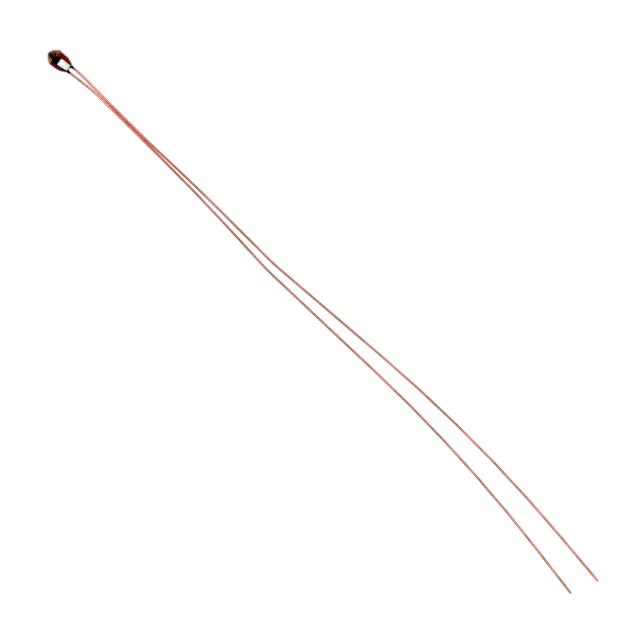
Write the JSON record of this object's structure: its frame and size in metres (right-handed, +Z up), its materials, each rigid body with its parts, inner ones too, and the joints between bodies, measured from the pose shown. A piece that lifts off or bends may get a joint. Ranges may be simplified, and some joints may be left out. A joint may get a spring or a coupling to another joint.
{
  "type": "bead thermistor",
  "caption": "Glass-sealed temperature sensor: a clear drop of glass fused around a gold-faced ceramic chip, with long bare copper-clad wire leads.",
  "frame": {"origin": "on the surface that the part lies on, straight below the bead's widest section", "axes": "+X along the run of the leads, away from the bead's tip; +Z up from the surface"},
  "size_m": [0.0735, 0.004, 0.0018],
  "materials": {
    "bead_glass": "clear, faintly green, fire-polished",
    "chip_ceramic": "black sintered oxide ceramic, matt",
    "contact_gold": "fired gold, slightly grainy",
    "copper_clad_wire": "drawn bare copper cladding, red oxide inside the glass"
  },
  "bodies": {
    "root": {"glass_bead": "bead_glass", "ceramic_chip": "chip_ceramic", "contact_upper": "contact_gold", "contact_lower": "contact_gold", "lead_upper": "copper_clad_wire", "lead_lower": "copper_clad_wire"}
  },
  "joints": []
}
